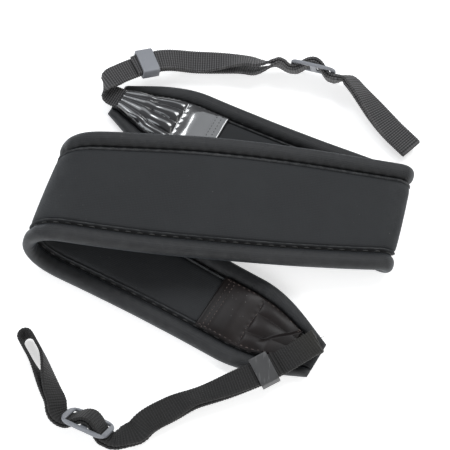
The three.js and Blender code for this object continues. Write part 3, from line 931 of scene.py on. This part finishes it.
def wear_and_shade_group():
    """Where a used strap is rubbed pale, with a painted highlight on the pad's raised seam line, its
    painted shade in the seam grooves, its soft patches, and small specks of lint.
    """
    tree, given, give = new_group(
        "used surface and painted shade",
        [("Place", "Vector", None), ("Rub Light And Shade", "Float", 0.0), ("Lint Size", "Float", 260.0)],
        [("Rubbed And Lit", "Float"), ("Mottle", "Float"), ("Lint", "Float"), ("Groove Shade", "Float")],
    )
    place = given["Place"]
    tree.links.new(noise(tree, place, 34.0, 5.0, 0.6), give["Mottle"])
    broken = ramp(tree, noise(tree, place, 210.0, 4.0, 0.7), 0.35, 0.7)
    rub_light_and_shade = sums(tree, "MULTIPLY", given["Rub Light And Shade"], broken)
    tree.links.new(ramp(tree, rub_light_and_shade, 0.0, 1.0), give["Rubbed And Lit"])
    # painted shade: where the attribute is below zero, in the seam grooves
    tree.links.new(ramp(tree, given["Rub Light And Shade"], 0.0, -1.0), give["Groove Shade"])
    cells = {"Vector": place, "Scale": given["Lint Size"]}
    speck = node(tree, "ShaderNodeTexVoronoi", cells)
    small = sums(tree, "LESS_THAN", speck.outputs["Distance"], 0.07)
    some = ramp(tree, noise(tree, place, 90.0, 1.0), 0.61, 0.68)
    tree.links.new(sums(tree, "MULTIPLY", small, some), give["Lint"])
    return tree


knit, used = knit_group(), wear_and_shade_group()


def new_material(name):
    material = bpy.data.materials.new(name)
    material.use_nodes = True
    tree = material.node_tree
    tree.nodes.clear()
    shader = tree.nodes.new("ShaderNodeBsdfPrincipled")
    out = tree.nodes.new("ShaderNodeOutputMaterial")
    tree.links.new(shader.outputs[0], out.inputs["Surface"])
    return material, tree, shader


def dress(tree, shader, even, colour, rough=None, normal=None):
    """Links what varies over the surface, and sets the rest on the shader's own sockets."""
    for socket, value in (("Base Color", colour), ("Roughness", rough), ("Normal", normal)):
        if value is not None:
            tree.links.new(value, shader.inputs[socket])
    for socket, value in even.items():
        shader.inputs[socket].default_value = value


def wear_and_shade_by(tree, lint_size=420.0):
    place = node(tree, "ShaderNodeTexCoord").outputs["Object"]
    rub_light_and_shade = node(tree, "ShaderNodeAttribute", attribute_name="rub_light_and_shade").outputs["Fac"]
    values = {"Place": place, "Rub Light And Shade": rub_light_and_shade, "Lint Size": lint_size}
    return place, node(tree, "ShaderNodeGroup", values, node_tree=used).outputs


def fabric(name, dark, light, sheen, wale, course, knit_depth, rough_start):
    material, tree, shader = new_material(name)
    place, wear_and_shade = wear_and_shade_by(tree)
    loops = node(tree, "ShaderNodeGroup", node_tree=knit)
    tree.links.new(own_map(tree), loops.inputs["Map"])
    loops.inputs["Wale"].default_value = wale
    loops.inputs["Course"].default_value = course
    colour = blend(tree, ramp(tree, wear_and_shade["Mottle"], 0.4, 0.6), dark, light)
    colour = blend(tree, ramp(tree, loops.outputs["Thread"], 0.12, 0.4), colour, light)
    # rubbed pale, with a painted highlight along the pad's raised seam line
    colour = layer(tree, colour, wear_and_shade["Rubbed And Lit"], 0.75, grey(0.11, -0.02))
    # painted shade in the seam grooves
    colour = layer(tree, colour, wear_and_shade["Groove Shade"], 0.85, grey(0.004))
    colour = layer(tree, colour, wear_and_shade["Lint"], 0.45, grey(0.22, 0.02))
    rough = sums(tree, "MULTIPLY_ADD", wear_and_shade["Mottle"], 0.22, rough_start)
    soft = bump(tree, noise(tree, place, 95.0, 6.0, 0.62), 0.35, 0.0006)
    fine = bump(tree, loops.outputs["Height"], knit_depth, 0.00016, soft)
    even = {"Specular IOR Level": 0.32, "Sheen Weight": sheen, "Sheen Roughness": 0.42}
    even["Sheen Tint"] = (0.72, 0.86, 1.0, 1)
    dress(tree, shader, even, colour, rough, fine)
    return material


def vinyl(name, dark, light, rough_start, crumple, even):
    material, tree, shader = new_material(name)
    place, wear_and_shade = wear_and_shade_by(tree)
    colour = blend(tree, ramp(tree, wear_and_shade["Mottle"], 0.3, 0.7), dark, light)
    colour = layer(tree, colour, wear_and_shade["Rubbed And Lit"], 0.3, grey(0.07))
    colour = layer(tree, colour, wear_and_shade["Lint"], 0.5, grey(0.25))
    smear = ramp(tree, noise(tree, place, 160.0, 6.0, 0.6), 0.3, 0.75)
    rough = sums(tree, "MULTIPLY_ADD", smear, 0.14, rough_start)
    soft = bump(tree, noise(tree, place, 70.0, 1.5, 0.5, 0.8), crumple, 0.0006)
    creased = bump(tree, noise(tree, place, 300.0, 5.0, 0.55, 0.8), 0.06, 0.0002, soft)
    dress(tree, shader, even, colour, rough, creased)
    return material


def webbing_material(dirty_place):
    material, tree, shader = new_material("ribbed webbing")
    place, wear_and_shade = wear_and_shade_by(tree, 500.0)
    own = own_map(tree)
    axes = map_axes(tree, own)
    rib = sums(tree, "COSINE", sums(tree, "MULTIPLY", axes[0], TURN / rib_pitch))
    warp = sums(tree, "COSINE", sums(tree, "MULTIPLY", axes[1], TURN / warp_pitch))
    rows = sums(tree, "MULTIPLY_ADD", axes[0], TURN / (2 * rib_pitch), 0.6)
    twill = sums(tree, "MULTIPLY", warp, sums(tree, "COSINE", rows))
    height = sums(tree, "MULTIPLY_ADD", warp, 0.12, sums(tree, "MULTIPLY_ADD", rib, 0.3, 0.42))
    height = sums(tree, "MULTIPLY_ADD", twill, 0.07, height)
    fluff = noise(tree, own, 5.0, 4.0, 0.7)
    height = sums(tree, "MULTIPLY_ADD", fluff, 0.3, height)
    colour = blend(tree, ramp(tree, height, 0.3, 0.95), grey(0.010), (0.125, 0.122, 0.126, 1))
    colour = layer(tree, colour, wear_and_shade["Mottle"], 0.3, (0.06, 0.058, 0.06, 1))
    colour = layer(tree, colour, wear_and_shade["Rubbed And Lit"], 0.35, grey(0.2, 0.03))
    colour = layer(tree, colour, wear_and_shade["Lint"], 0.4, grey(0.3))
    # the near strap is painted darker, as painted shade for the dimmer light at the near end, and its fold
    # is the dirtiest place
    front = ramp(tree, map_axes(tree, place)[1], 0.01, -0.03)
    colour = layer(tree, colour, front, 0.84, grey(0.010, 0.03))
    values = {0: place, 1: dirty_place}
    off = node(tree, "ShaderNodeVectorMath", values, operation="DISTANCE").outputs["Value"]
    patchy = sums(tree, "MULTIPLY", ramp(tree, off, 0.019, 0.006), ramp(tree, fluff, 0.35, 0.6))
    colour = layer(tree, colour, patchy, 0.55, (0.040, 0.038, 0.026, 1))
    rough = sums(tree, "MULTIPLY_ADD", fluff, 0.3, 0.55)
    relief = bump(tree, height, 0.75, 0.0003)
    even = {"Specular IOR Level": 0.35, "Sheen Weight": 0.12, "Sheen Roughness": 0.4}
    dress(tree, shader, even, colour, rough, relief)
    return material


def plastic(name, dark, light):
    material, tree, shader = new_material(name)
    place, wear_and_shade = wear_and_shade_by(tree, 700.0)
    colour = blend(tree, ramp(tree, wear_and_shade["Mottle"], 0.3, 0.7), dark, light)
    drawn = node(tree, "ShaderNodeMapping", {"Vector": place, "Scale": (1, 0.12, 1)}).outputs[0]
    scratches = ramp(tree, noise(tree, drawn, 900.0, 3.0), 0.62, 0.7)
    colour = layer(tree, colour, scratches, 0.15, grey(0.4))
    colour = layer(tree, colour, wear_and_shade["Lint"], 0.5, grey(0.12))
    grain = noise(tree, place, 2600.0, 2.0)
    rough = sums(tree, "MULTIPLY_ADD", grain, 0.18, 0.36)
    relief = bump(tree, grain, 0.25, 0.0001)
    dress(tree, shader, {}, colour, rough, relief)
    return material


def thread_material(name, dark, light):
    material, tree, shader = new_material(name)
    axes = map_axes(tree, own_map(tree))
    across = sums(tree, "MULTIPLY", axes[1], 5.0)
    ply = sums(tree, "SINE", sums(tree, "MULTIPLY_ADD", axes[0], 14.0, across))
    aged = noise(tree, node(tree, "ShaderNodeTexCoord").outputs["Object"], 150.0, 3.0)
    colour = blend(tree, ramp(tree, aged, 0.38, 0.62), dark, light)
    colour = blend(tree, sums(tree, "MULTIPLY_ADD", ply, 0.2, 0.2), colour, dark)
    rough = sums(tree, "MULTIPLY_ADD", aged, 0.3, 0.4)
    relief = bump(tree, ply, 0.5, 0.0001)
    dress(tree, shader, {}, colour, rough, relief)
    return material


def table_material():
    material, tree, shader = new_material("pale table")
    soft = noise(tree, node(tree, "ShaderNodeTexCoord").outputs["Object"], 9.0, 3.0)
    even = {"Roughness": 0.7, "Specular IOR Level": 0.2, "Emission Strength": 0.58}
    even["Emission Color"] = (1, 1, 1, 1)
    dress(tree, shader, even, blend(tree, soft, grey(0.89), grey(0.93)))
    return material


foam_dark, foam_light = (0.0175, 0.0185, 0.0205, 1), (0.0265, 0.028, 0.030, 1)
roll_dark, roll_light = (0.014, 0.0145, 0.0155, 1), (0.026, 0.0265, 0.028, 1)
dull_dark, dull_light = (0.009, 0.0075, 0.0075, 1), (0.016, 0.0115, 0.011, 1)
patent_dark, patent_light = (0.010, 0.0105, 0.0125, 1), (0.020, 0.020, 0.023, 1)
dull = {"Specular IOR Level": 0.16, "Coat Weight": 0.06, "Coat IOR": 2.0, "Coat Roughness": 0.32}
glossy = {"Specular IOR Level": 0.35, "Coat Weight": 1.0, "Coat IOR": 2.0, "Coat Roughness": 0.10}
foam_look = fabric("foam fabric", foam_dark, foam_light, 0.05, 0.80, 0.62, 0.55, 0.62)
roll_look = fabric("roll fabric", roll_dark, roll_light, 0.12, 0.70, 0.55, 0.65, 0.40)
vinyl_looks = {
    "near": vinyl("dulled vinyl", dull_dark, dull_light, 0.42, 0.3, dull),
    "far": vinyl("patent vinyl", patent_dark, patent_light, 0.30, 0.05, glossy),
}
webbing_look = webbing_material((0.040, -0.046, 0.004))
plastic_looks = {
    # the near keeper's plastic is painted darker as painted shade, for the dimmer light at the near end
    "near": plastic("shaded grey plastic", (0.038, 0.038, 0.039, 1), (0.078, 0.078, 0.08, 1)),
    "far": plastic("moulded grey plastic", (0.215, 0.225, 0.25, 1), (0.27, 0.28, 0.305, 1)),
}
seam_thread = thread_material("seam thread", grey(0.028), grey(0.07, 0.01))
patch_threads = {
    "near": thread_material("near vinyl thread", grey(0.02, 0.1), (0.15, 0.11, 0.10, 1)),
    "far": thread_material("far vinyl thread", grey(0.04), grey(0.20)),
}


# The strap


def finish_piece(piece, look, slot, *replaced):
    piece.data.materials.clear()
    piece.data.materials.append(look)
    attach(piece, "root")
    if replaced:
        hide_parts(*replaced)


pad = foam_pad()
finish_piece(pad, foam_look, "foam_fabric", "pad_panel")
for name, edge in (("front", 1), ("back", -1)):
    roll = seam_roll("seam_roll_" + name, edge)
    finish_piece(roll, roll_look, "roll_fabric", "edge_roll_" + name)
    seams = stitches("seam_stitches_" + name, [seam_row(edge, 1), seam_row(edge, -1)])
    finish_piece(seams, seam_thread, None)

for end, fold, rows in (("near", near_fold, near_rows), ("far", far_fold, far_rows)):
    patch = end_patch(end)
    finish_piece(patch, vinyl_looks[end], "patent_vinyl", "end_patch_" + end)
    finish_piece(stitches("vinyl_stitches_" + end, patch_rows(end)), patch_threads[end], None)
    strap, keeper_place, slider_place, bend = strap_end(end, fold, rows)
    if end == "near":
        start = bend.place + bend.side * 0.6
        long_way = [(0, 0, 0), (1.2, 0.8, 0.5), (2.6, 1.0, 1.4), (3.8, 1.9, 1.2)]
        short_way = [(0, 0, 0), (0.9, 1.4, 0.2), (1.5, 2.4, 0.5)]
        frays = [thread("fray", start + np.array(long_way), 0.16)]
        frays.append(thread("fray", start + np.array(short_way), 0.12))
        strap = joined([strap, *frays], strap.name)
    finish_piece(strap, webbing_look, "webbing", "webbing_" + end)
    finish_piece(keeper(end, keeper_place), plastic_looks[end], "grey_plastic", "keeper_" + end)
    finish_piece(slider(end, slider_place), plastic_looks["far"], "grey_plastic", "slider_" + end)

# Table, light and camera

bpy.ops.mesh.primitive_plane_add(size=6, location=(0, 0, 0))
table = bpy.context.object
table.name = "table"
table.data.materials.append(table_material())

world = bpy.data.worlds.new("soft room")
world.use_nodes = True
room = world.node_tree.nodes["Background"].inputs
room["Color"].default_value = (0.97, 0.98, 1.0, 1)
room["Strength"].default_value = 0.26
bpy.context.scene.world = world


def soft_light(name, place, target, size, power, colour):
    data = bpy.data.lights.new(name, "AREA")
    data.shape = "RECTANGLE"
    data.size, data.size_y = size
    data.energy = power
    data.color = colour
    lamp = bpy.data.objects.new(name, data)
    lamp.location = place
    lamp.rotation_euler = (Vector(target) - Vector(place)).to_track_quat("-Z", "Y").to_euler()
    bpy.context.collection.objects.link(lamp)


for light in (
    ("wide back light", (-0.05, 0.60, 0.78), (-0.02, 0.05, 0), (0.9, 0.45), 1.7, (0.92, 0.96, 1.0)),
    ("back left softbox", (-0.31, 0.60, 0.69), (-0.04, 0.06, 0), (0.16, 0.22), 1.3, (0.96, 0.98, 1.0)),
    ("back right softbox", (0.42, 0.37, 0.71), (-0.04, 0.06, 0), (0.34, 0.32), 2.7, (0.97, 0.985, 1.0)),
    ("left fill", (-0.75, -0.35, 0.42), (0, 0, 0), (0.6, 0.4), 1.8, (0.90, 0.95, 1.0)),
    ("right fill", (0.9, -0.25, 0.7), (0, 0, 0), (0.6, 0.5), 1.0, (1.0, 1.0, 0.95)),
    ("front fill", (-0.05, -0.85, 0.50), (0, 0, 0), (0.7, 0.4), 3.0, (1.0, 0.99, 0.98)),
):
    soft_light(*light)

view_height = 62  # degrees above the table
lens = bpy.data.cameras.new("camera")
lens.lens = 112
lens.clip_start = 0.01
camera = bpy.data.objects.new("camera", lens)
camera.location = (-0.0007955, -0.2817757, 0.5475400)
camera.rotation_euler = ((90 - view_height) * DEG, 0, 0)
bpy.context.collection.objects.link(camera)
bpy.context.scene.camera = camera
bpy.context.scene.view_settings.view_transform = "Standard"
